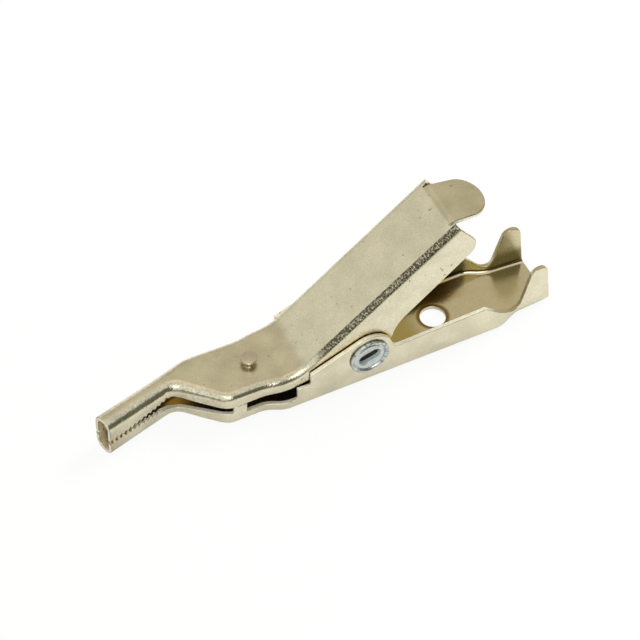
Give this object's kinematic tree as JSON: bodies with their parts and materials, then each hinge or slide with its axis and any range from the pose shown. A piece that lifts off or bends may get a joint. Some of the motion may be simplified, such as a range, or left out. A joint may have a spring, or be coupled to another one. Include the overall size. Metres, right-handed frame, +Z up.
{
  "type": "telecom test clip",
  "caption": "Sprung test clip of stamped nickel-plated sheet: sideways-angled toothed nose, piercing pin over a wire notch, folded handle, tail with lead hole and crimp ears.",
  "frame": {"origin": "middle of the clip's length and width on the plane it rests on", "axes": "+X toward the tail, nose toward -X and angled toward -Y, +Z up"},
  "size_m": [0.065, 0.0126, 0.0232],
  "materials": {
    "nickel": "bright nickel plate on stamped steel, warm grey",
    "nickel_worn": "satin nickel plate on stamped steel, finely pitted",
    "zinc": "zinc plate on steel, bluish grey",
    "spring_steel": "plated spring wire",
    "pin_steel": "plated turned steel"
  },
  "bodies": {
    "lower": {"lower_lever": "nickel", "pivot_rivet": "zinc", "torsion_spring": "spring_steel"},
    "upper": {"upper_lever": "nickel_worn", "piercing_pin": "pin_steel"}
  },
  "joints": [
    {"name": "jaw_pivot", "type": "hinge", "parent": "lower", "child": "upper", "pos_m": [0.00406, 0, 0.0053], "axis": [0, 1, 0], "range_deg": [0, 24], "stiffness_Nm_per_rad": 0.15, "springref_deg": -34.38, "deforming": ["torsion_spring"]}
  ]
}
